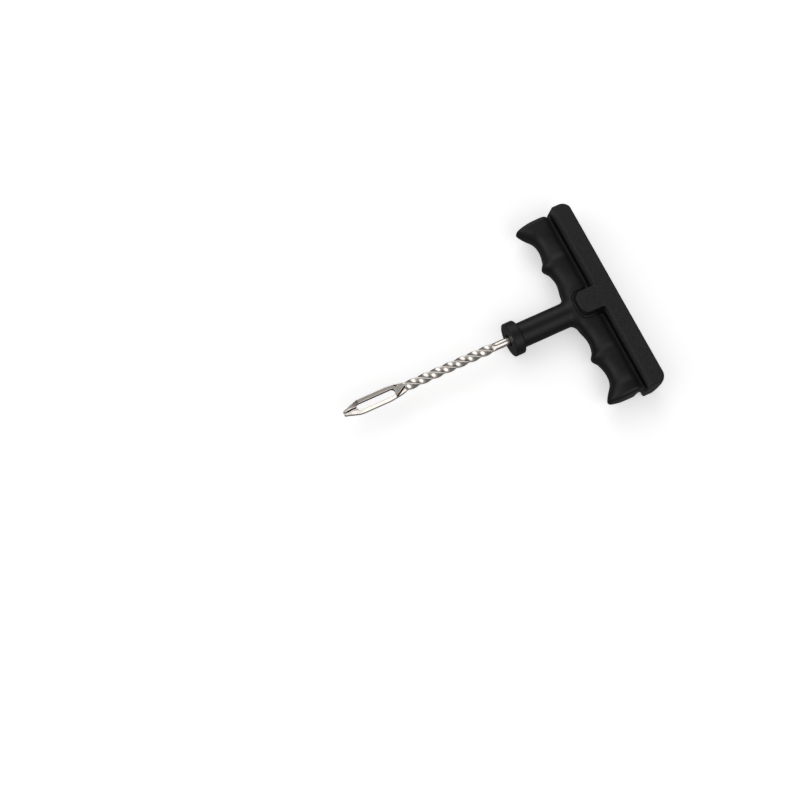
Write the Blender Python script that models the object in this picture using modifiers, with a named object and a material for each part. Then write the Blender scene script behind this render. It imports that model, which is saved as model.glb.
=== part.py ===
"""Tyre plug insertion tool: a forged steel needle with a split eye, moulded into a black plastic T-handle.

The tool lies flat. Both pieces are modelled in the tool's own frame, whose x runs from the palm bar
along the needle, y along the bar and z through its thickness, with the needle's axis at y = z = 0.
An empty turns that frame half round, so that the needle points to -X, and stands it on z = 0.
"""

import math

import bmesh
import bpy
from mathutils import Vector

# Driving dimensions, in metres.
TOOL_REACH = 0.1424         # palm edge of the bar's flat faces to the needle's tip
GAP = 0.0003                # clearance between the needle and the handle around it

BAR_LENGTH = 0.1005
BAR_WIDTH = 0.0083          # width of the bar's flat faces
BAR_THICKNESS = 0.0185
PALM_CROWN = 0.0020         # how far the palm side bulges past the flat faces
PALM_CORNER = 0.0042
INNER_CORNER = 0.0010
BAR_EDGE = 0.0008           # rounding between a flat face and the long sides
BAR_END_EDGE = 0.0013       # rounding between a flat face and the bar's ends

WEB_HALF = 0.0026           # half thickness at the bottom of the groove beside the bar
GROOVE_WIDTH = 0.0034
GRIP_END = 0.0490           # half length of the finger grip
GRIP_EDGE = 0.0018          # rounding at the grip's ends
GRIP_CREST = 0.0150         # x of the grip's thickest line
GRIP_BACK = 0.0060          # how far behind that line the barrel would close
GRIP_HALF = 0.0059          # half thickness in a finger well
GRIP_SWELL = 0.22           # extra half thickness for each metre that a ridge stands out of a well
GRIP_SQUARENESS = 2.3
ROOT_SQUARENESS = 3.6       # the grip's front is squarer beside the neck
ROOT_SPAN = (0.0060, 0.0130)    # distances from the needle's axis over which that fades out

# The finger line, as (distance from the needle's axis, x): root, well, ridge, well and end hook.
FINGER_LINE = (
    (0.0000, 0.0228),
    (0.0100, 0.0228),
    (0.0165, 0.0217),
    (0.0217, 0.0227),
    (0.0253, 0.0248),
    (0.0288, 0.0228),
    (0.0345, 0.0216),
    (0.0395, 0.0225),
    (0.0440, 0.0260),
    (0.0468, 0.0277),
    (0.0482, 0.0275),
    (0.0490, 0.0262),
)

BOSS_REACH = 0.0200         # x of the rounded tongue's tip, level with the flat faces
BOSS_HALF = 0.0056
BOSS_CORNER = 0.0045
BOSS_FILLET = 0.0020
TONGUE_DROP = 0.0001        # how far the tongue's face lies below the bar's
BOSS_DRAFT = 0.25           # how fast the tongue spreads below the flat faces

NECK_RADIUS = 0.0062
NECK_START = 0.0140
ROOT_FILLET = 0.0034        # where the neck flares into the grip
ROOT_HALF = 0.0050          # half thickness of that flare at the grip
COLLAR_RADIUS = 0.0084
COLLAR_BACK = 0.0508
COLLAR_FACE = 0.0560
COLLAR_EDGE = 0.0008
MOUTH_RADIUS = 0.0029       # the open ring around the needle in the collar's face
MOUTH_DEPTH = 0.0015

ROD_RADIUS = 0.00195
TANG_END = 0.0140           # the needle's buried end
WING_HALF_WIDTH = 0.0037    # swaged wings that key the needle into the plastic
WING_HALF_THICKNESS = 0.0012
TWIST_START = 0.0650
TWIST_END = 0.1114
QUARTER_TURN = 0.00645      # length of a quarter turn of the twist
TWIST_HALF_FLAT = 0.00185
EYE_HALF_THICKNESS = 0.0013
SLOT_START = 0.1161
SLOT_END = 0.1356
SLOT_HALF = 0.00175
SLOT_OFFSET = -0.0001       # the eye's centre line, to one side of the needle's axis
SLOT_NOSE = 0.0012          # corner radius at the slot's front end
SLIT_HALF = 0.0003

# Stretches of the needle, as (x, half width, half thickness, squareness of the section).
NEEDLE_SECTIONS = (
    (TANG_END, 0.0015, 0.0015, 2.0),
    (TANG_END + 0.0005, ROD_RADIUS, ROD_RADIUS, 2.0),
    (TANG_END + 0.0020, ROD_RADIUS, ROD_RADIUS, 2.0),
    (TANG_END + 0.0035, WING_HALF_WIDTH, WING_HALF_THICKNESS, 3.0),
    (TANG_END + 0.0105, WING_HALF_WIDTH, WING_HALF_THICKNESS, 3.0),
    (TANG_END + 0.0120, ROD_RADIUS, ROD_RADIUS, 2.0),
    (TWIST_START - 0.0015, ROD_RADIUS, ROD_RADIUS, 2.0),
    (TWIST_START, TWIST_HALF_FLAT, TWIST_HALF_FLAT, 5.0),
    (TWIST_END - 0.0014, TWIST_HALF_FLAT, TWIST_HALF_FLAT, 5.0),
    (TWIST_END, 0.0024, 0.0018, 3.5),
    (0.1135, 0.0028, 0.0016, 2.6),
    (0.1160, 0.0032, EYE_HALF_THICKNESS, 2.4),
    (0.1200, 0.0036, EYE_HALF_THICKNESS, 2.4),
    (0.1330, 0.0036, EYE_HALF_THICKNESS, 2.4),
    (0.1350, 0.0034, EYE_HALF_THICKNESS, 2.4),
    (0.1360, 0.0032, EYE_HALF_THICKNESS, 2.4),
    (0.1400, 0.0018, EYE_HALF_THICKNESS, 2.4),
    (TOOL_REACH, 0.0011, 0.0009, 2.4),
)
NEEDLE_SIDES = 20
TWIST_STEP = 0.00103        # spacing of the sections along the twist
GRIP_STEP = 0.0016          # spacing of the sections along the grip
ARC_STEPS = 5               # flats in a quarter of a round corner
TURNED_STEPS = 32           # flats around the neck and collar


# ---- scene, materials and small helpers ----

def clear_scene():
    for obj in list(bpy.data.objects):
        bpy.data.objects.remove(obj, do_unlink=True)


def new_collection(name):
    collection = bpy.data.collections.new(name)
    bpy.context.scene.collection.children.link(collection)
    return collection


def new_material(name, colour, roughness, metallic):
    material = bpy.data.materials.new(name)
    material.use_nodes = True
    shader = material.node_tree.nodes["Principled BSDF"]
    shader.inputs["Base Color"].default_value = (*colour, 1.0)
    shader.inputs["Roughness"].default_value = roughness
    shader.inputs["Metallic"].default_value = metallic
    return material


def new_object(name, mesh, collection):
    obj = bpy.data.objects.new(name, mesh)
    collection.objects.link(obj)
    return obj


def mix(a, b, t):
    return a + (b - a) * t


def arc(cx, cy, radius, start, end, steps=ARC_STEPS):
    """Points of an arc in a plane, from angle start to angle end in degrees."""
    angles = [math.radians(mix(start, end, i / steps)) for i in range(steps + 1)]
    return [(cx + radius * math.cos(a), cy + radius * math.sin(a)) for a in angles]


def smooth_line(points, t):
    """Height at t of a smooth line through points, a cubic with each point's slope taken from its neighbours."""
    last = len(points) - 1
    i = max(k for k in range(last) if t >= points[k][0] or k == 0)

    def slope(k):
        a = points[max(k - 1, 0)]
        b = points[min(k + 1, last)]
        return (b[1] - a[1]) / (b[0] - a[0])

    (t0, v0), (t1, v1) = points[i], points[i + 1]
    span = t1 - t0
    u = min(max((t - t0) / span, 0.0), 1.0)
    return (
        v0 * (1 + 2 * u) * (1 - u) ** 2
        + v1 * u * u * (3 - 2 * u)
        + span * slope(i) * u * (1 - u) ** 2
        - span * slope(i + 1) * u * u * (1 - u)
    )


# ---- ways of making a solid ----

def loft(name, rings, collection):
    """A closed solid through rings of equal length: its sides are quads, and its two ends are flat."""
    bm = bmesh.new()
    rows = [[bm.verts.new(point) for point in ring] for ring in rings]
    count = len(rows[0])
    for a, b in zip(rows, rows[1:]):
        for i in range(count):
            j = (i + 1) % count
            bm.faces.new((a[i], a[j], b[j], b[i]))
    bm.faces.new(rows[0])
    bm.faces.new(rows[-1])
    bmesh.ops.recalc_face_normals(bm, faces=bm.faces)
    mesh = bpy.data.meshes.new(name)
    bm.to_mesh(mesh)
    bm.free()
    return new_object(name, mesh, collection)


def as_mesh(obj, collection):
    """The object's evaluated shape as a plain mesh object in the same place, with loose caps welded."""
    bpy.context.view_layer.update()
    evaluated = obj.evaluated_get(bpy.context.evaluated_depsgraph_get())
    mesh = bpy.data.meshes.new_from_object(evaluated)
    bm = bmesh.new()
    bm.from_mesh(mesh)
    bmesh.ops.remove_doubles(bm, verts=bm.verts, dist=1e-6)
    bmesh.ops.recalc_face_normals(bm, faces=bm.faces)
    bm.to_mesh(mesh)
    bm.free()
    name = obj.name
    matrix = obj.matrix_world.copy()
    bpy.data.objects.remove(obj, do_unlink=True)
    made = new_object(name, mesh, collection)
    made.matrix_world = matrix
    return made


def plate(name, outline, half_thickness, collection):
    """A flat solid of that outline in x and y, centred on z = 0."""
    curve = bpy.data.curves.new(name, "CURVE")
    curve.dimensions = "2D"
    curve.fill_mode = "BOTH"
    curve.extrude = half_thickness
    spline = curve.splines.new("POLY")
    spline.points.add(len(outline) - 1)
    for point, (x, y) in zip(spline.points, outline):
        point.co = (x, y, 0.0, 1.0)
    spline.use_cyclic_u = True
    return as_mesh(new_object(name, curve, collection), collection)


def turned(name, profile, collection):
    """A solid turned about the x axis from a profile of (x, radius), which starts and ends on the axis."""
    mesh = bpy.data.meshes.new(name)
    points = [(radius, 0.0, x) for x, radius in reversed(profile)]
    mesh.from_pydata(points, [(i, i + 1) for i in range(len(points) - 1)], [])
    obj = new_object(name, mesh, collection)
    screw = obj.modifiers.new("turn", "SCREW")
    screw.steps = TURNED_STEPS
    screw.render_steps = TURNED_STEPS
    screw.use_merge_vertices = True
    screw.merge_threshold = 1e-6
    obj.rotation_euler = (0.0, math.radians(90), 0.0)
    return as_mesh(obj, collection)


def combine(target, tool, operation):
    """Joins tool to target, or cuts it away, and removes it."""
    modifier = target.modifiers.new(operation.lower(), "BOOLEAN")
    modifier.operation = operation
    modifier.solver = "EXACT"
    modifier.object = tool
    bpy.context.view_layer.update()
    evaluated = target.evaluated_get(bpy.context.evaluated_depsgraph_get())
    mesh = bpy.data.meshes.new_from_object(evaluated)
    target.modifiers.clear()
    target.data = mesh
    bpy.data.objects.remove(tool, do_unlink=True)


# ---- the handle's shapes ----

def rounded_step(height, limit, radius):
    """How far a side is drawn in at that height, where it rounds over to a face at limit."""
    over = max(abs(height) - (limit - radius), 0.0)
    return radius - math.sqrt(max(radius * radius - over * over, 0.0))


def bar_outline(z):
    """The palm bar's outline at height z: crowned on the palm side, with its edges rounded."""
    half = BAR_THICKNESS / 2
    inset = rounded_step(z, half, BAR_EDGE)
    end_inset = rounded_step(z, half, BAR_END_EDGE)
    palm = -PALM_CROWN * (1 - (z / half) ** 2) + inset
    inner = BAR_WIDTH - inset
    end = BAR_LENGTH / 2 - end_inset
    quarter = (
        arc(inner - INNER_CORNER, end - INNER_CORNER, INNER_CORNER, 0, 90)
        + arc(palm + PALM_CORNER, end - PALM_CORNER, PALM_CORNER, 90, 180)
    )
    return [(x, y, z) for x, y in quarter] + [(x, -y, z) for x, y in reversed(quarter)]


def palm_bar(collection):
    half = BAR_THICKNESS / 2
    edge = [half - BAR_END_EDGE * (1 - math.sin(math.radians(a))) for a in (0, 22, 42, 62, 78, 90)]
    middle = [mix(0.0, half - BAR_END_EDGE, i / 4) for i in range(4)]
    above = middle[1:] + edge
    heights = [-z for z in reversed(above)] + [0.0] + above
    return loft("palm_bar", [bar_outline(z) for z in heights], collection)


def grip_section(y):
    """The finger grip's section at y: a barrel between the groove's wall and the finger line."""
    inset = rounded_step(y, GRIP_END, GRIP_EDGE)
    front = smooth_line(FINGER_LINE, abs(y))
    wall = BAR_WIDTH + GROOVE_WIDTH
    swell = GRIP_SWELL * (min(front, 0.0250) - 0.0217)
    half = GRIP_HALF + max(swell, 0.0) - inset
    fade = min(max((abs(y) - ROOT_SPAN[0]) / (ROOT_SPAN[1] - ROOT_SPAN[0]), 0.0), 1.0)
    ahead = 2 / mix(ROOT_SQUARENESS, GRIP_SQUARENESS, fade)
    behind = 2 / GRIP_SQUARENESS
    start = math.acos(((wall - GRIP_CREST) / -GRIP_BACK) ** (1 / behind))
    ring = []
    steps = 3 * ARC_STEPS
    for i in range(steps + 1):
        t = mix(math.pi - start, 0.0, i / steps)
        reach, power = (front - GRIP_CREST, ahead) if math.cos(t) > 0 else (GRIP_BACK, behind)
        x = GRIP_CREST + math.copysign(abs(math.cos(t)) ** power * reach, math.cos(t))
        ring.append((x, y, half * math.sin(t) ** power))
    return ring + [(x, y, -z) for x, _, z in reversed(ring[:-1])]


def finger_grip(collection):
    steps = round(2 * (GRIP_END - GRIP_EDGE) / GRIP_STEP)
    span = GRIP_END - GRIP_EDGE
    middle = [mix(-span, span, i / steps) for i in range(1, steps)]
    edge = [span + GRIP_EDGE * math.sin(math.radians(a)) for a in (0, 35, 65, 90)]
    places = [-y for y in reversed(edge)] + middle + edge
    return loft("finger_grip", [grip_section(y) for y in places], collection)


def groove_web(collection):
    """The thin wall that joins the bar to the grip, whose faces are the bottoms of the two grooves."""
    wall = BAR_WIDTH + GROOVE_WIDTH
    bar_end = BAR_LENGTH / 2 - BAR_EDGE
    grip_end = GRIP_END - GRIP_EDGE / 2
    half = [
        (BAR_WIDTH / 2, bar_end),
        (BAR_WIDTH, bar_end),
        (wall, grip_end),
        (GRIP_CREST, GRIP_END - GRIP_EDGE),
    ]
    outline = half + [(x, -y) for x, y in reversed(half)]
    return plate("groove_web", outline, WEB_HALF, collection)


def tongue_outline(z):
    """The tongue's outline at height z: it spreads below the flat faces, and rounds over at its edge."""
    half = BAR_THICKNESS / 2
    spread = BOSS_DRAFT * (half - abs(z)) - rounded_step(z, half, BAR_EDGE)
    side = BOSS_HALF + spread
    tip = BOSS_REACH + spread
    inner = BAR_WIDTH - BAR_EDGE + BOSS_FILLET
    outline = (
        [(BAR_WIDTH / 2, side + BOSS_FILLET)]
        + arc(inner, side + BOSS_FILLET, BOSS_FILLET, 180, 270)
        + arc(tip - BOSS_CORNER, side - BOSS_CORNER, BOSS_CORNER, 90, 0, 2 * ARC_STEPS)
    )
    return [(x, y, z) for x, y in outline] + [(x, -y, z) for x, y in reversed(outline)]


def boss_tongue(collection):
    """The rounded tongue that reaches from the middle of the bar over the neck's root, on both faces."""
    top = BAR_THICKNESS / 2 - TONGUE_DROP
    above = [top - BAR_EDGE, top - BAR_EDGE / 3, top]
    heights = [-z for z in reversed(above)] + [0.0] + above
    return loft("boss_tongue", [tongue_outline(z) for z in heights], collection)


def neck_root(collection):
    """The flare between the neck and the grip: a fillet in plan, and barely thicker than the grip."""
    grip = smooth_line(FINGER_LINE, NECK_RADIUS + ROOT_FILLET)
    flare = arc(grip + ROOT_FILLET, NECK_RADIUS + ROOT_FILLET, ROOT_FILLET, 180, 262)
    angles = [2 * math.pi * i / TURNED_STEPS for i in range(TURNED_STEPS)]
    rings = []
    for x, width in [(GRIP_CREST, flare[0][1])] + flare:
        share = (x - GRIP_CREST) / (flare[-1][0] - GRIP_CREST)
        thickness = mix(ROOT_HALF, NECK_RADIUS, share)
        rings.append([(x, width * math.cos(a), thickness * math.sin(a)) for a in angles])
    return loft("neck_root", rings, collection)


def neck_and_collar(collection):
    edge = COLLAR_EDGE
    profile = (
        [(NECK_START, 0.0), (NECK_START, NECK_RADIUS), (COLLAR_BACK, NECK_RADIUS)]
        + arc(COLLAR_BACK + edge, COLLAR_RADIUS - edge, edge, 180, 90, 3)
        + [(COLLAR_FACE - edge / 2, COLLAR_RADIUS), (COLLAR_FACE, COLLAR_RADIUS - edge / 2)]
        + [(COLLAR_FACE, 0.0)]
    )
    return turned("neck_and_collar", profile, collection)


# ---- the needle's shapes ----

def needle_section(x, clearance=0.0):
    """The needle's section at x, grown by a clearance: a circle, a twisted square or a flat bar."""
    stations = NEEDLE_SECTIONS
    last = len(stations) - 2
    k = max(i for i in range(last + 1) if x >= stations[i][0] or i == 0)
    a, b = stations[k], stations[k + 1]
    share = min(max((x - a[0]) / (b[0] - a[0]), 0.0), 1.0)
    width, thickness, squareness = (mix(a[i], b[i], share) for i in (1, 2, 3))
    quarters = (min(max(x, TWIST_START), TWIST_END) - TWIST_END) / QUARTER_TURN
    turn = quarters * math.pi / 2
    ring = []
    for i in range(NEEDLE_SIDES):
        t = 2 * math.pi * i / NEEDLE_SIDES
        c, s = math.cos(t), math.sin(t)
        y = (width + clearance) * math.copysign(abs(c) ** (2 / squareness), c)
        z = (thickness + clearance) * math.copysign(abs(s) ** (2 / squareness), s)
        ring.append((x, y * math.cos(turn) - z * math.sin(turn), y * math.sin(turn) + z * math.cos(turn)))
    return ring


def needle_places():
    """Where along x the needle's sections stand: at each station, and closely along the twist."""
    steps = round((TWIST_END - TWIST_START) / TWIST_STEP)
    twist = [mix(TWIST_START, TWIST_END, i / steps) for i in range(1, steps)]
    return sorted([station[0] for station in NEEDLE_SECTIONS] + twist)


def eye_slot(collection):
    """The cutter for the eye: a long slot, round at its back end, and the slit from it out to the tip."""
    high = SLOT_OFFSET + SLOT_HALF
    low = SLOT_OFFSET - SLOT_HALF
    nose = SLOT_END - SLOT_NOSE
    outline = (
        arc(SLOT_START + SLOT_HALF, SLOT_OFFSET, SLOT_HALF, 270, 90, 2 * ARC_STEPS)
        + arc(nose, high - SLOT_NOSE, SLOT_NOSE, 90, 0)
        + [(SLOT_END, SLIT_HALF), (TOOL_REACH + GAP, SLIT_HALF)]
        + [(TOOL_REACH + GAP, -SLIT_HALF), (SLOT_END, -SLIT_HALF)]
        + arc(nose, low + SLOT_NOSE, SLOT_NOSE, 0, -90)
    )
    return plate("eye_slot", outline, 3 * EYE_HALF_THICKNESS, collection)


# ---- the two pieces ----

def make_handle(collection, cutters, material):
    handle = palm_bar(collection)
    handle.name = "handle"
    for shape in (groove_web, finger_grip, neck_and_collar, neck_root, boss_tongue):
        combine(handle, shape(cutters), "UNION")
    socket_places = [x for x in needle_places() if x < TWIST_START - 0.0010]
    rings = [needle_section(x, GAP) for x in socket_places]
    rings.insert(0, [(x - GAP, y, z) for x, y, z in needle_section(TANG_END, GAP)])
    combine(handle, loft("needle_socket", rings, cutters), "DIFFERENCE")
    mouth = [
        (COLLAR_FACE - MOUTH_DEPTH, 0.0),
        (COLLAR_FACE - MOUTH_DEPTH, MOUTH_RADIUS),
        (COLLAR_FACE + MOUTH_DEPTH, MOUTH_RADIUS),
        (COLLAR_FACE + MOUTH_DEPTH, 0.0),
    ]
    combine(handle, turned("socket_mouth", mouth, cutters), "DIFFERENCE")
    finish(handle, material)
    return handle


def make_needle(collection, cutters, material):
    needle = loft("needle", [needle_section(x) for x in needle_places()], collection)
    combine(needle, eye_slot(cutters), "DIFFERENCE")
    finish(needle, material)
    return needle


def finish(obj, material):
    obj.data.materials.clear()
    obj.data.materials.append(material)
    obj.data.shade_smooth()
    obj.data.set_sharp_from_angle(angle=math.radians(35))


def main():
    clear_scene()
    parts = new_collection("tyre_plug_insertion_tool")
    cutters = new_collection("cutters")
    frame = bpy.data.objects.new("tool_frame", None)
    parts.objects.link(frame)
    middle = (TOOL_REACH - PALM_CROWN) / 2
    frame.location = Vector((middle, 0.0, BAR_THICKNESS / 2))
    frame.rotation_euler = (0.0, 0.0, math.pi)
    plastic = new_material("black_plastic", (0.012, 0.012, 0.013), 0.5, 0.0)
    steel = new_material("plated_steel", (0.72, 0.70, 0.67), 0.25, 1.0)
    for obj in (make_handle(parts, cutters, plastic), make_needle(parts, cutters, steel)):
        obj.parent = frame


main()
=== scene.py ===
"""Tyre plug insertion tool lying flat: a moulded black T-handle, and a forged and twisted needle with
a split eye.

Both pieces are surfaces of signed distance fields, worked out in millimetres in the tool's own frame:
x from the palm edge of the bar's flat faces towards the needle's tip, y along the bar, z through the
thickness, with the needle's axis at y = z = 0. The CAD nodes' boxes say where that frame lies.
"""

import math

import bpy
import numpy as np
from mathutils import Matrix, Vector


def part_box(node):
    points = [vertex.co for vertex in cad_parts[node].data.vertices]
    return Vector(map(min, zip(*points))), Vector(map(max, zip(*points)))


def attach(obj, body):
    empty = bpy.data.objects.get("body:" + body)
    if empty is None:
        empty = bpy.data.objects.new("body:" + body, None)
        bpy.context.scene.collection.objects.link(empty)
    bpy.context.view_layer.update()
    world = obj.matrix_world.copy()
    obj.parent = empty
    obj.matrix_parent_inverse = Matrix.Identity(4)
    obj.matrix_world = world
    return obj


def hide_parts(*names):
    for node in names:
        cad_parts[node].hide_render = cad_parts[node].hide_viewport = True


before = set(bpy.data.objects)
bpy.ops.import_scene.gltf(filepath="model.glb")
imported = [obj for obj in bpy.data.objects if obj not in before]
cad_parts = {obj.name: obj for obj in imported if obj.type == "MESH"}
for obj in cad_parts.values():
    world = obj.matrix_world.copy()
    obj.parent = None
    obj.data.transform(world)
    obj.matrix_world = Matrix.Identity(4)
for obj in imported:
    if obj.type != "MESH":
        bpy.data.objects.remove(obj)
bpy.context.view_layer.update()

MM = 0.001

# ---- the handle, in millimetres: an EDGE or a CORNER is the radius of a round edge, a FILLET that
# of a round inner corner, a HALF a half thickness or half width, and a DRAFT a widening per depth ----
BAR_WIDTH = 8.3
BAR_END = 50.22
BAR_HALF = 9.25
PALM_CROWN = 2.0
PALM_CORNER = 4.2
INNER_CORNER = 1.0
BAR_EDGE = 0.7
GROOVE_EDGE = 0.9           # rounding of the bar's edge along the grooves
GROOVE_EDGE_X = (3.5, 6.0)  # where that rounding sets in, across the bar and along it
GROOVE_EDGE_Y = (8.5, 11.0)
BAR_END_EDGE = 1.3
BAR_END_ZONE = (46.0, 49.5)
WEB_HALF = 2.6
WEB_EDGE = 0.1
WEB_END = 49.5
WEB_END_LEAN = 0.32         # how fast the web's end draws in over the width of the groove
WEB_LEAN_SPAN = 3.0
WEB_END_EDGE = 0.8
WALL = 11.7                 # x of the grooves' grip side
WALL_EDGE = 0.35
GROOVE_FILLET = 0.7
GRIP_END = 48.95
GRIP_END_EDGE = 2.2
GRIP_CREST = 15.0
GRIP_BACK = 6.0
GRIP_HALF = 5.9
GRIP_SWELL = 0.22           # growth of the half thickness with the finger line's reach
SWELL_REACH = (21.7, 25.0)  # where that growth starts and stops
GRIP_SQUARENESS = 2.3
ROOT_SQUARENESS = 3.6
ROOT_SPAN = (6.0, 13.0)
FINGER_LINE = (
    (0.0, 22.8), (10.0, 22.8), (16.5, 21.7), (21.7, 22.7), (25.3, 24.8), (28.8, 22.8),
    (34.5, 21.6), (39.5, 22.5), (44.0, 26.0), (46.8, 27.7), (48.2, 27.5), (49.0, 26.2),
)
BOSS_REACH = 20.0
BOSS_HALF = 5.6
BOSS_CORNER = 4.5
BOSS_FILLET = 2.0
BOSS_DRAFT = 0.25
BAR_DRAFT = 0.12            # of the bar's wall in the grooves
CREVICE = 0.6               # depth of the sunk line where the trunk meets the tongue
CREVICE_SPAN = (0.3, 1.1)   # from the tongue's outline, where it starts and stops fading
NECK_RADIUS = 6.2
NECK_START = 12.0
NECK_STOP = 55.0
ROOT_FILLET = 3.3
COLLAR_RADIUS = 8.4
COLLAR_BACK = 50.8
COLLAR_FACE = 56.0
COLLAR_BACK_EDGE = 0.8
COLLAR_FACE_EDGE = 0.5
COLLAR_FILLET = 0.5
MOUTH_RADIUS = 2.9
MOUTH_DEPTH = 1.5
MOUTH_FLOOR_EDGE = 0.3
OPENING_EDGE = 0.2
SOCKET_GAP = 0.3

# ---- the needle, in millimetres ----
TANG_END = 14.0
TANG_EDGE = 0.5
TWIST_START = 65.0
TWIST_END = 111.4
QUARTER_TURN = 6.45
TOOL_REACH = 142.4
TIP_EDGE = 0.5
SLOT_START = 116.1
SLOT_END = 135.6
SLOT_HALF = 1.78
SLOT_OFFSET = 0.12
SLOT_NOSE = 1.2
SLOT_EDGE = 0.25
# x and half width of the slit between the jaws
SLIT_WIDTHS = np.array((
    (133.0, 0.42),
    (135.5, 0.44),
    (138.5, 0.44),
    (140.8, 0.25),
    (141.6, 0.25),
    (142.4, 0.60),
)).T
SLIT_WAIST = 0.35           # its width at the middle plane, as a share
SLIT_FLARE = 1.2            # height above the middle plane where it's at full width
SLIT_OVERLAP = 2.0          # how far the slit runs back into the slot
SLIT_FILLET = 0.3
# x, half width, half thickness, corner radius of the section
NEEDLE_SECTIONS = np.array((
    (14.0, 1.95, 1.95, 1.95),
    (16.0, 1.95, 1.95, 1.95),
    (17.5, 3.70, 1.20, 0.80),
    (24.5, 3.70, 1.20, 0.80),
    (26.0, 1.95, 1.95, 1.95),
    (63.2, 1.95, 1.95, 1.95),
    (65.5, 1.87, 1.87, 0.55),
    (110.0, 1.87, 1.87, 0.55),
    (111.5, 2.35, 1.87, 0.55),
    (113.5, 2.80, 1.87, 0.55),
    (116.0, 3.20, 1.87, 0.40),
    (120.0, 3.62, 1.87, 0.40),
    (133.0, 3.62, 1.87, 0.40),
    (135.0, 3.45, 1.87, 0.40),
    (136.0, 3.20, 1.87, 0.40),
    (140.0, 1.80, 1.80, 0.40),
    (142.4, 1.15, 1.40, 0.40),
)).T

# the eye's face is almost flat on the far side of a line and slopes away on its near side:
# x, the line's y, the far side's half thickness, the near side's at the line, the far side's fall
NEAR_SLOPE = 20.0
FACE_EDGE = 0.25
FACES = np.array((
    (110.4, 0.0, 9.00, 9.00, 0.00),
    (111.1, 0.1, 2.10, 2.10, 0.00),
    (113.5, 1.4, 1.60, 1.80, 0.00),
    (116.1, 2.8, 1.30, 1.40, 0.00),
    (117.3, 1.0, 1.30, 2.00, 0.00),
    (134.0, 1.0, 1.30, 2.00, 0.00),
    (137.0, 0.0, 1.35, 2.05, 0.22),
    (139.0, 0.0, 1.30, 1.85, 0.30),
    (142.4, 0.0, 1.10, 1.40, 0.30),
)).T
# creases left by the forging tool on both faces: two ends as (x, y, height), and radius
CREASES = (
    ((111.0, 0.0, 2.05), (116.2, 2.85, 1.25), 0.42),
    ((114.6, -1.7, 1.50), (115.6, -2.5, 1.30), 0.34),
)
CREASE_EDGE = 0.12

# ---- the meshes: cell sizes, and boxes that hold the pieces, in millimetres ----
HANDLE_CELL = 0.36
HANDLE_BOX = ((-2.9, -51.1, -10.1), (57.0, 51.2, 10.2))
NEEDLE_CELL = 0.15
NEEDLE_BOX = ((13.3, -4.4, -4.4), (143.2, 4.5, 4.5))
SLOPE_STEP = 0.02

# ---- the colours, each from its darkest to its palest where it varies ----
PLASTIC = ((0.0030, 0.0033, 0.0033, 1), (0.0060, 0.0064, 0.0064, 1))
PLASTIC_GRAIN = ((0.0030, 0.0032, 0.0032, 1), (0.0240, 0.0245, 0.0245, 1))
# painted light: a paler tone on the upper part of the grooves' wall, as if light falls on it
GROOVE_WALL_LIGHT = (0.038, 0.039, 0.038, 1)
MOUTH = (0.022, 0.008, 0.005, 1)
STEEL = ((0.80, 0.73, 0.67, 1), (0.93, 0.88, 0.83, 1))
# painted shade on the steep walls of the needle's slot
SLOT_WALL_SHADE = (0.16, 0.11, 0.085, 1)
# painted brown shade for the needle's creases and slit
CREASE_SHADE = (0.07, 0.042, 0.032, 1)
# the grained faces of the plastic, and the upper part of the grooves' wall where paler light is
# painted on, by height above the middle plane in millimetres
GRAINED = (8.4, 9.2)
WALL_LIGHT_HEIGHTS = (4.8, 6.0)
# lines to colour along, in millimetres: two ends, full within and none past these distances
MOUTH_LINE = ((53.0, 0.0, 0.0), (57.0, 0.0, 0.0), 2.5, 3.3)
WALL_LINE = ((BAR_WIDTH, -BAR_END, 0.0), (BAR_WIDTH, BAR_END, 0.0), 1.0, 1.3)
SLOT_LINE = ((117.9, SLOT_OFFSET, 0.0), (133.9, SLOT_OFFSET, 0.0), 1.9, 2.0)
# painted brown shade in the needle's creases and slit
CREASE_SHADE_LINES = (
    ((111.2, 0.1, 0.0), (116.0, 2.75, 0.0), 0.28, 0.48),
    ((114.7, -1.8, 0.0), (115.5, -2.4, 0.0), 0.20, 0.45),
    ((136.0, 0.0, 0.0), (140.6, 0.0, 0.0), 0.36, 0.55),
)

# ---- the light ----
SKY = 0.30
BACKDROP = 0.92
FLOOR_GLOW = 0.45
FLOOR_REFLECTED = 0.14
# direction in the tool's frame, full within and none past these angles, strength; one is below zero,
# and takes light away like a black flag
SOFTBOXES = (
    ((0.72, -0.20, 0.66), 10.0, 34.0, 1.1),
    ((-0.70, -0.15, 0.70), 12.0, 38.0, -0.2),
    ((-0.08, -0.77, 0.64), 18.0, 30.0, 1.1),
    ((-0.16, 0.66, 0.73), 20.0, 29.0, 1.1),
)

# ---- the floor, in metres, and the camera in the tool's frame ----
FLOOR_REACH = 2.5
FLOOR_GAP = 0.0002
LENS = 55.95
SENSOR_WIDTH = 36.0
CAMERA_RIGHT = (-0.9001, 0.4336, 0.0419)
CAMERA_UP = (-0.4033, -0.8660, 0.2955)
CAMERA_BACK = (0.1644, 0.2491, 0.9544)
CAMERA_PLACE = (211.1, 149.2, 553.5)


# ---- fields ----

def join(a, b, radius):
    """The union of two fields, with a round fillet where they meet."""
    corner = np.hypot(np.maximum(radius - a, 0), np.maximum(radius - b, 0))
    return np.maximum(radius, np.minimum(a, b)) - corner


def common(a, b, radius):
    """What lies in both fields, with a round edge where they meet."""
    corner = np.hypot(np.maximum(radius + a, 0), np.maximum(radius + b, 0))
    return np.minimum(-radius, np.maximum(a, b)) + corner


def ramp(t, low, high):
    """0 below the low value, 1 above the high one, and smooth in between."""
    u = np.clip((t - low) / (high - low), 0, 1)
    return u * u * (3 - 2 * u)


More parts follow.
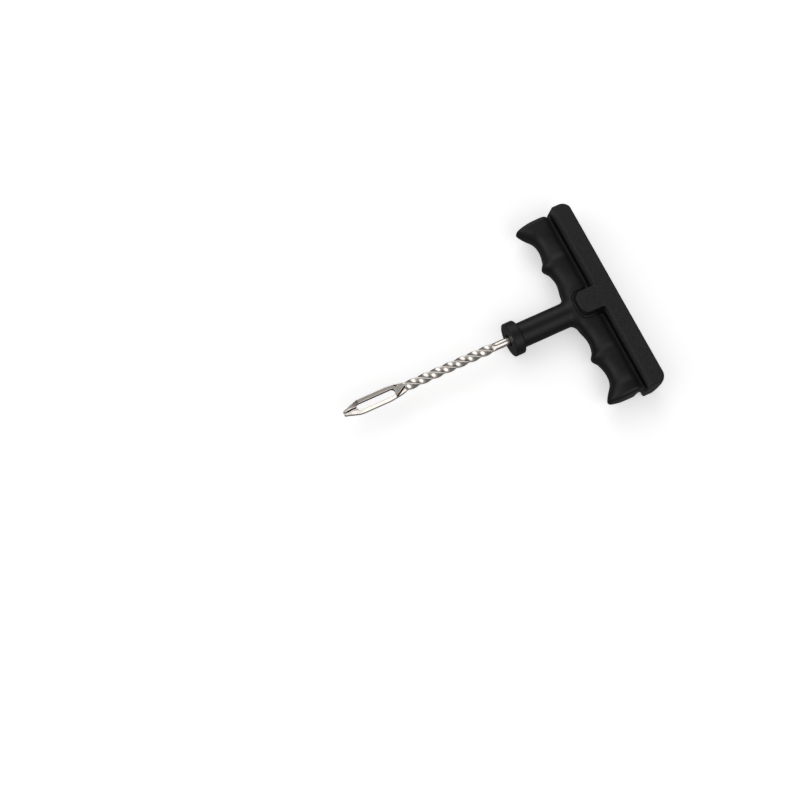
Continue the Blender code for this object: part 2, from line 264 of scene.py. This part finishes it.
def smooth_table(points, t):
    """A cubic through the points, each with the slope of its neighbours, and that cubic's slope."""
    px, py = np.array(points).T
    slope = np.gradient(py)
    slope[1:-1] = (py[2:] - py[:-2]) / (px[2:] - px[:-2])
    slope[0] = (py[1] - py[0]) / (px[1] - px[0])
    slope[-1] = (py[-1] - py[-2]) / (px[-1] - px[-2])
    i = np.clip(np.searchsorted(px, t, side="right") - 1, 0, len(px) - 2)
    span = px[i + 1] - px[i]
    u = np.clip((t - px[i]) / span, 0, 1)
    value = (
        py[i] * (1 + 2 * u) * (1 - u) ** 2 + py[i + 1] * u * u * (3 - 2 * u)
        + span * slope[i] * u * (1 - u) ** 2 - span * slope[i + 1] * u * u * (1 - u)
    )
    rate = (
        6 * u * (1 - u) * (py[i + 1] - py[i]) / span
        + slope[i] * (1 - u) * (1 - 3 * u) + slope[i + 1] * u * (3 * u - 2)
    )
    return value, rate


def grip_field(x, along, z):
    """The finger grip: a barrel between the groove's wall and the finger line."""
    front, rate = smooth_table(FINGER_LINE, along)
    ahead = x > GRIP_CREST
    reach = np.where(ahead, front - GRIP_CREST, GRIP_BACK)
    swell = (np.clip(front, *SWELL_REACH) - SWELL_REACH[0]) * GRIP_SWELL
    half = GRIP_HALF + swell
    u = np.abs(x - GRIP_CREST) / reach
    w = np.abs(z) / half
    front_n = ROOT_SQUARENESS + (GRIP_SQUARENESS - ROOT_SQUARENESS) * ramp(along, *ROOT_SPAN)
    n = np.where(ahead, front_n, GRIP_SQUARENESS)
    size = (u ** n + w ** n + 1e-9) ** (1 / n)
    du = (u / size) ** (n - 1)
    dw = (w / size) ** (n - 1)
    slope_x = du / reach
    slope_y = np.where(ahead, du * u * rate / reach, 0)
    slope_z = dw / half
    barrel = (size - 1) / np.sqrt(slope_x ** 2 + slope_y ** 2 + slope_z ** 2 + 1e-6)
    barrel = common(barrel, WALL - x, WALL_EDGE)
    return common(barrel, along - GRIP_END, GRIP_END_EDGE)


def handle_field(x, y, z):
    """The bar with its tongue, the web under the grooves, and the grip with the neck and collar."""
    along = np.abs(y)
    height = np.abs(z)
    round_ = np.hypot(y, z)
    crown = PALM_CROWN * (1 - (z / BAR_HALF) ** 2)
    palm = (-x - crown) / np.hypot(1, 2 * PALM_CROWN * z / BAR_HALF ** 2)
    depth = BAR_HALF - np.minimum(height, BAR_HALF)
    plan = common(x - BAR_WIDTH - BAR_DRAFT * depth, along - BAR_END, INNER_CORNER)
    spread = BOSS_DRAFT * depth
    tongue = common(x - BOSS_REACH - spread, along - BOSS_HALF - spread, BOSS_CORNER)
    plan = join(plan, tongue, BOSS_FILLET)
    plan = common(plan, palm, PALM_CORNER)
    at_end = ramp(along, *BAR_END_ZONE)
    at_groove = ramp(x, *GROOVE_EDGE_X) * ramp(along, *GROOVE_EDGE_Y) * (1 - at_end)
    edge = BAR_EDGE + (BAR_END_EDGE - BAR_EDGE) * at_end + (GROOVE_EDGE - BAR_EDGE) * at_groove
    bar = common(plan, height - BAR_HALF, edge)
    web_end = WEB_END - WEB_END_LEAN * np.clip(x - BAR_WIDTH, 0, WEB_LEAN_SPAN)
    web = common(np.maximum(x - GRIP_CREST, BAR_WIDTH / 2 - x), height - WEB_HALF, WEB_EDGE)
    web = common(web, along - web_end, WEB_END_EDGE)
    neck = np.maximum(round_ - NECK_RADIUS, np.maximum(NECK_START - x, x - NECK_STOP))
    collar = common(round_ - COLLAR_RADIUS, COLLAR_BACK - x, COLLAR_BACK_EDGE)
    collar = common(collar, x - COLLAR_FACE, COLLAR_FACE_EDGE)
    trunk = join(grip_field(x, along, z), neck, ROOT_FILLET)
    trunk = join(trunk, collar, COLLAR_FILLET)
    trunk = trunk + CREVICE * (1 - ramp(plan, *CREVICE_SPAN))
    body = join(join(bar, web, GROOVE_FILLET), trunk, GROOVE_FILLET)
    socket = needle_bar(x, y, z) - SOCKET_GAP
    socket = np.maximum(socket, TANG_END - SOCKET_GAP - x)
    mouth = common(round_ - MOUTH_RADIUS, COLLAR_FACE - MOUTH_DEPTH - x, MOUTH_FLOOR_EDGE)
    return common(body, -np.minimum(socket, mouth), OPENING_EDGE)


def needle_bar(x, y, z):
    """The needle without its slot, slit or ends: a round, twisted or flat bar."""
    width, thickness, corner = (np.interp(x, NEEDLE_SECTIONS[0], row) for row in NEEDLE_SECTIONS[1:])
    turn = (np.clip(x, TWIST_START, TWIST_END) - TWIST_END) / QUARTER_TURN * math.pi / 2
    across = y * np.cos(turn) + z * np.sin(turn)
    through = z * np.cos(turn) - y * np.sin(turn)
    a = np.abs(across) - width + corner
    b = np.abs(through) - thickness + corner
    outside = np.hypot(np.maximum(a, 0), np.maximum(b, 0))
    bar = outside + np.minimum(np.maximum(a, b), 0) - corner
    line, far, near, fall = (np.interp(x, FACES[0], row) for row in FACES[1:])
    lean = math.radians(NEAR_SLOPE)
    slope = (np.abs(z) - near) * math.cos(lean) + (y - line) * math.sin(lean)
    return common(bar, np.where(y < line, np.abs(z) - far + fall * y, slope), FACE_EDGE)


def crease(x, y, z, start, end, radius):
    """A round-bottomed line pressed into both faces."""
    a = np.array(start)
    b = np.array(end)
    offsets = (x - a[0], y - a[1], np.abs(z) - a[2])
    run = b - a
    share = np.clip(sum(o * r for o, r in zip(offsets, run)) / run.dot(run), 0, 1)
    return np.sqrt(sum((o - share * r) ** 2 for o, r in zip(offsets, run))) - radius


def needle_field(x, y, z):
    """The needle with its slot, slit, creases and ends."""
    bar = common(needle_bar(x, y, z), x - TOOL_REACH, TIP_EDGE)
    bar = common(bar, TANG_END - x, TANG_EDGE)
    slot = common(np.abs(y - SLOT_OFFSET) - SLOT_HALF, SLOT_START - x, SLOT_HALF)
    slot = common(slot, x - SLOT_END, SLOT_NOSE)
    narrowing = SLIT_WAIST + (1 - SLIT_WAIST) * np.clip(np.abs(z) / SLIT_FLARE, 0, 1)
    slit = np.abs(y) - narrowing * np.interp(x, *SLIT_WIDTHS)
    slit = np.maximum(slit, SLOT_END - SLIT_OVERLAP - x)
    bar = common(bar, -join(slot, slit, SLIT_FILLET), SLOT_EDGE)
    for pressed in CREASES:
        bar = common(bar, -crease(x, y, z, *pressed), CREASE_EDGE)
    return bar


# ---- from a field to a mesh ----

def slopes(field, p):
    """The field's rate of change along each axis, at each point."""
    columns = []
    for axis in range(3):
        step = np.zeros(3)
        step[axis] = SLOPE_STEP
        columns.append((field(*(p + step).T) - field(*(p - step).T)) / (2 * SLOPE_STEP))
    return np.stack(columns, 1)


def net(field, low, high, cell):
    """Vertices and quads of the field's zero surface: one vertex in each cell it passes through."""
    counts = [int(math.ceil((h - l) / cell)) + 1 for l, h in zip(low, high)]
    axes = [l + cell * np.arange(c) for l, c in zip(low, counts)]
    grid = np.meshgrid(*axes, indexing="ij", sparse=True)
    values = np.broadcast_to(field(*grid), counts)
    inside = values < 0
    cells = tuple(c - 1 for c in counts)
    total = np.zeros(cells + (3,))
    hits = np.zeros(cells)
    crossings = []
    for axis in range(3):
        a = [slice(None)] * 3
        b = [slice(None)] * 3
        a[axis] = slice(None, -1)
        b[axis] = slice(1, None)
        va, vb = values[tuple(a)], values[tuple(b)]
        cross = inside[tuple(a)] != inside[tuple(b)]
        crossings.append(cross)
        share = np.where(cross, va / np.where(cross, va - vb, 1), 0)
        others = [i for i in range(3) if i != axis]
        for du in (0, 1):
            for dv in (0, 1):
                pick = [slice(None)] * 3
                pick[others[0]] = slice(du, cells[others[0]] + du)
                pick[others[1]] = slice(dv, cells[others[1]] + dv)
                c = cross[tuple(pick)]
                total[..., axis] += np.where(c, share[tuple(pick)], 0)
                total[..., others[0]] += c * du
                total[..., others[1]] += c * dv
                hits += c
    used = hits > 0
    number = np.full(cells, -1)
    number[used] = np.arange(used.sum())
    corner = np.stack(np.nonzero(used), 1)
    p = np.array(low) + cell * (corner + total[used] / hits[used][:, None])
    quads = []
    for axis in range(3):
        u, v = [(1, 2), (2, 0), (0, 1)][axis]
        i = np.stack(np.nonzero(crossings[axis]), 1)
        i = i[(i[:, u] > 0) & (i[:, v] > 0) & (i[:, u] < cells[u]) & (i[:, v] < cells[v])]
        leaving = inside[tuple(i.T)]
        ring = []
        for du, dv in ((-1, -1), (0, -1), (0, 0), (-1, 0)):
            j = i.copy()
            j[:, u] += du
            j[:, v] += dv
            ring.append(number[tuple(j.T)])
        ring = np.stack(ring, 1)
        quads.append(np.where(leaving[:, None], ring, ring[:, ::-1]))
    return p, np.concatenate(quads)


def settle(field, p, cell):
    """Moves each vertex onto the field's zero surface, and returns the surface's normals there too."""
    for _ in range(3):
        slope = slopes(field, p)
        size = np.maximum((slope ** 2).sum(1), 0.05)
        move = slope * (field(*p.T) / size)[:, None]
        length = np.linalg.norm(move, axis=1)
        move *= np.minimum(1, 0.5 * cell / np.maximum(length, 1e-9))[:, None]
        p = p - move
    slope = slopes(field, p)
    return p, slope / np.maximum(np.linalg.norm(slope, axis=1), 1e-9)[:, None]


def surface_piece(name, field, box, cell, place):
    """A smooth mesh of the field's surface, as an object at that place."""
    p, quads = net(field, *box, cell)
    p, normals = settle(field, p, cell)
    mesh = bpy.data.meshes.new(name)
    mesh.from_pydata((p * MM).tolist(), [], quads.tolist())
    mesh.validate()
    mesh.shade_smooth()
    mesh.normals_split_custom_set_from_vertices(normals.tolist())
    piece = bpy.data.objects.new(name, mesh)
    bpy.context.scene.collection.objects.link(piece)
    piece.matrix_world = place
    print(name, len(p), "vertices", len(quads), "quads")
    return piece


# ---- materials ----

def node(tree, kind, **values):
    made = tree.nodes.new(kind)
    for key, value in values.items():
        if key in made.inputs:
            made.inputs[key].default_value = value
        else:
            setattr(made, key, value)
    return made


def feed(tree, socket, value):
    """Sets a socket to a constant, or links it to another node's output."""
    if isinstance(value, bpy.types.NodeSocket):
        tree.links.new(value, socket)
    else:
        socket.default_value = value


def mapped(tree, source, low, high, to_low, to_high):
    made = node(tree, "ShaderNodeMapRange")
    made.inputs["From Min"].default_value = low
    made.inputs["From Max"].default_value = high
    made.inputs["To Min"].default_value = to_low
    made.inputs["To Max"].default_value = to_high
    feed(tree, made.inputs["Value"], source)
    return made.outputs["Result"]


def blend(tree, factor, first, second):
    """A colour between two."""
    made = node(tree, "ShaderNodeMix", data_type="RGBA")
    feed(tree, made.inputs["Factor"], factor)
    feed(tree, made.inputs[6], first)
    feed(tree, made.inputs[7], second)
    return made.outputs[2]


def blend_value(tree, factor, first, second):
    """A number between two."""
    made = node(tree, "ShaderNodeMix", data_type="FLOAT")
    feed(tree, made.inputs["Factor"], factor)
    feed(tree, made.inputs[2], first)
    feed(tree, made.inputs[3], second)
    return made.outputs[0]


def maths(tree, operation, *values):
    made = node(tree, "ShaderNodeMath", operation=operation)
    for socket, value in zip(made.inputs, values):
        feed(tree, socket, value)
    return made.outputs[0]


def vector_math(tree, operation, first, second):
    made = node(tree, "ShaderNodeVectorMath", operation=operation)
    feed(tree, made.inputs[0], first)
    feed(tree, made.inputs[1], second)
    return made.outputs["Value" if operation in ("DOT_PRODUCT", "DISTANCE") else "Vector"]


def near_line(tree, place, start, end, inner, outer):
    """1 within the inner distance of a line between two points, and 0 past the outer one."""
    a, b = Vector(start) * MM, Vector(end) * MM
    offset = vector_math(tree, "SUBTRACT", place, a)
    run = b - a
    share = vector_math(tree, "DOT_PRODUCT", offset, run / run.length_squared)
    share = mapped(tree, share, 0.0, 1.0, 0.0, 1.0)
    along = node(tree, "ShaderNodeVectorMath", operation="SCALE")
    along.inputs[0].default_value = run
    feed(tree, along.inputs["Scale"], share)
    away = vector_math(tree, "DISTANCE", offset, along.outputs[0])
    return mapped(tree, away, inner * MM, outer * MM, 1.0, 0.0)


def plan_view(tree, place):
    """The same place with no height."""
    return vector_math(tree, "MULTIPLY", place, (1.0, 1.0, 0.0))


def component(tree, vector, axis):
    split = node(tree, "ShaderNodeSeparateXYZ")
    feed(tree, split.inputs[0], vector)
    return split.outputs[axis]


def true_normal(tree, axis):
    return component(tree, node(tree, "ShaderNodeNewGeometry").outputs["True Normal"], axis)


def noise(tree, place, scale, detail, roughness):
    made = node(tree, "ShaderNodeTexNoise", Scale=scale, Detail=detail, Roughness=roughness)
    feed(tree, made.inputs["Vector"], place)
    return made.outputs["Fac"]


def bumped(tree, height, distance, strength, normal=None):
    made = node(tree, "ShaderNodeBump", Distance=distance)
    feed(tree, made.inputs["Height"], height)
    feed(tree, made.inputs["Strength"], strength)
    if normal:
        feed(tree, made.inputs["Normal"], normal)
    return made.outputs["Normal"]


def new_material(name):
    material = bpy.data.materials.new(name)
    material.use_nodes = True
    tree = material.node_tree
    return material, tree, tree.nodes["Principled BSDF"]


def black_plastic():
    """Smooth black plastic, with grain on the flat faces of the bar and tongue, and painted light on
    the upper part of the grooves' wall.
    """
    material, tree, shader = new_material("black_plastic")
    place = node(tree, "ShaderNodeTexCoord").outputs["Object"]
    height = maths(tree, "ABSOLUTE", component(tree, place, "Z"))
    flat = mapped(tree, height, GRAINED[0] * MM, GRAINED[1] * MM, 0.0, 1.0)
    grain = noise(tree, place, 2200.0, 3.0, 0.7)
    cloud = noise(tree, place, 120.0, 4.0, 0.6)
    speckle = mapped(tree, grain, 0.35, 0.65, 0.0, 1.0)
    tone = blend(tree, flat, blend(tree, cloud, *PLASTIC), blend(tree, speckle, *PLASTIC_GRAIN))
    # painted light: the upper part of the grooves' wall that faces the grip is painted paler, as if
    # lit
    beside = near_line(tree, plan_view(tree, place), *WALL_LINE)
    facing = mapped(tree, true_normal(tree, "X"), -0.95, -0.70, 1.0, 0.0)
    upper = mapped(tree, height, WALL_LIGHT_HEIGHTS[0] * MM, WALL_LIGHT_HEIGHTS[1] * MM, 0.0, 1.0)
    wall = maths(tree, "MULTIPLY", maths(tree, "MULTIPLY", facing, beside), upper)
    tone = blend(tree, wall, tone, GROOVE_WALL_LIGHT)
    tone = blend(tree, near_line(tree, place, *MOUTH_LINE), tone, MOUTH)
    smooth = mapped(tree, cloud, 0.3, 0.7, 0.38, 0.48)
    feed(tree, shader.inputs["Base Color"], tone)
    feed(tree, shader.inputs["Specular IOR Level"], 0.33)
    feed(tree, shader.inputs["Roughness"], blend_value(tree, flat, smooth, 0.60))
    strength = mapped(tree, flat, 0.0, 1.0, 0.25, 0.8)
    feed(tree, shader.inputs["Normal"], bumped(tree, grain, 0.00004, strength))
    return material


def plated_steel():
    """Plated steel drawn along the needle, with painted shade on the slot's walls and painted brown
    shade in the creases and slit.
    """
    material, tree, shader = new_material("plated_steel")
    place = node(tree, "ShaderNodeTexCoord").outputs["Object"]
    stretch = node(tree, "ShaderNodeMapping")
    stretch.inputs["Scale"].default_value = (0.12, 1.0, 1.0)
    feed(tree, stretch.inputs["Vector"], place)
    streak = noise(tree, stretch.outputs[0], 2200.0, 4.0, 0.65)
    cloud = noise(tree, place, 260.0, 4.0, 0.6)
    tone = blend(tree, cloud, *STEEL)
    level = plan_view(tree, place)
    # painted brown shade along the creases and the slit
    for line in CREASE_SHADE_LINES:
        tone = blend(tree, near_line(tree, level, *line), tone, CREASE_SHADE)
    # painted shade: steep faces near the slot's middle line get the darker slot wall tone
    steep = mapped(tree, maths(tree, "ABSOLUTE", true_normal(tree, "Z")), 0.25, 0.75, 1.0, 0.0)
    inside = maths(tree, "MULTIPLY", steep, near_line(tree, level, *SLOT_LINE))
    feed(tree, shader.inputs["Base Color"], blend(tree, inside, tone, SLOT_WALL_SHADE))
    feed(tree, shader.inputs["Metallic"], 1.0)
    feed(tree, shader.inputs["Roughness"], mapped(tree, streak, 0.3, 0.7, 0.16, 0.28))
    fine = bumped(tree, streak, 0.000012, 0.6)
    feed(tree, shader.inputs["Normal"], bumped(tree, cloud, 0.00012, 0.5, fine))
    return material


def floor_paint():
    """A pale matt floor, which glossy faces see as the dark bench of a photographer's tent."""
    material, tree, shader = new_material("floor_paint")
    shader.inputs["Base Color"].default_value = (0.90, 0.90, 0.90, 1)
    shader.inputs["Emission Color"].default_value = (1, 1, 1, 1)
    shader.inputs["Emission Strength"].default_value = FLOOR_GLOW
    shader.inputs["Roughness"].default_value = 0.9
    shader.inputs["Specular IOR Level"].default_value = 0.1
    dark = node(tree, "ShaderNodeEmission", Strength=FLOOR_REFLECTED)
    path = node(tree, "ShaderNodeLightPath")
    mix = node(tree, "ShaderNodeMixShader")
    tree.links.new(path.outputs["Is Glossy Ray"], mix.inputs[0])
    tree.links.new(shader.outputs[0], mix.inputs[1])
    tree.links.new(dark.outputs[0], mix.inputs[2])
    tree.links.new(mix.outputs[0], tree.nodes["Material Output"].inputs["Surface"])
    return material


# ---- the set ----

def make_floor():
    mesh = bpy.data.meshes.new("floor")
    r = FLOOR_REACH
    mesh.from_pydata([(-r, -r, 0), (r, -r, 0), (r, r, 0), (-r, r, 0)], [], [(0, 1, 2, 3)])
    floor = bpy.data.objects.new("floor", mesh)
    bpy.context.scene.collection.objects.link(floor)
    floor.location.z = -FLOOR_GAP
    mesh.materials.append(floor_paint())


def make_camera(place):
    """The camera, from its place and axes in the tool's frame."""
    data = bpy.data.cameras.new("camera")
    data.lens = LENS
    data.sensor_width = SENSOR_WIDTH
    data.clip_start = 0.01
    data.clip_end = 20.0
    camera = bpy.data.objects.new("camera", data)
    bpy.context.scene.collection.objects.link(camera)
    turn = Matrix((CAMERA_RIGHT, CAMERA_UP, CAMERA_BACK)).transposed().to_4x4()
    turn.translation = Vector(CAMERA_PLACE) * MM
    camera.matrix_world = place @ turn
    bpy.context.scene.camera = camera


def softbox(tree, direction, inner, outer, strength):
    """Light around a direction in the tool's frame: full within one angle, none past the other."""
    spot = Vector((-direction[0], -direction[1], direction[2])).normalized()
    place = node(tree, "ShaderNodeTexCoord").outputs["Generated"]
    fall = node(tree, "ShaderNodeMapRange", interpolation_type="SMOOTHSTEP")
    fall.inputs["From Min"].default_value = math.cos(math.radians(outer))
    fall.inputs["From Max"].default_value = math.cos(math.radians(inner))
    fall.inputs["To Max"].default_value = strength
    feed(tree, fall.inputs["Value"], vector_math(tree, "DOT_PRODUCT", place, spot))
    return fall.outputs["Result"]


def make_lights():
    world = bpy.data.worlds.new("studio")
    bpy.context.scene.world = world
    world.use_nodes = True
    tree = world.node_tree
    total = SKY
    for box in SOFTBOXES:
        total = maths(tree, "ADD", total, softbox(tree, *box))
    seen = node(tree, "ShaderNodeLightPath").outputs["Is Camera Ray"]
    sky = tree.nodes["Background"]
    sky.inputs["Color"].default_value = (1, 1, 1, 1)
    feed(tree, sky.inputs["Strength"], blend_value(tree, seen, total, BACKDROP))


def main():
    low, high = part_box("handle")
    origin = Vector((high.x - PALM_CROWN * MM, (low.y + high.y) / 2, (low.z + high.z) / 2))
    place = Matrix.Translation(origin) @ Matrix.Rotation(math.pi, 4, "Z")
    handle = surface_piece("handle_moulding", handle_field, HANDLE_BOX, HANDLE_CELL, place)
    needle = surface_piece("needle_forging", needle_field, NEEDLE_BOX, NEEDLE_CELL, place)
    handle.data.materials.append(black_plastic())
    needle.data.materials.append(plated_steel())
    for piece, cad, slot in ((handle, "handle", "black_plastic"), (needle, "needle", "plated_steel")):
        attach(piece, "root")
        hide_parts(cad)
    bpy.context.scene.view_settings.view_transform = "Standard"
    make_floor()
    make_lights()
    make_camera(place)


main()
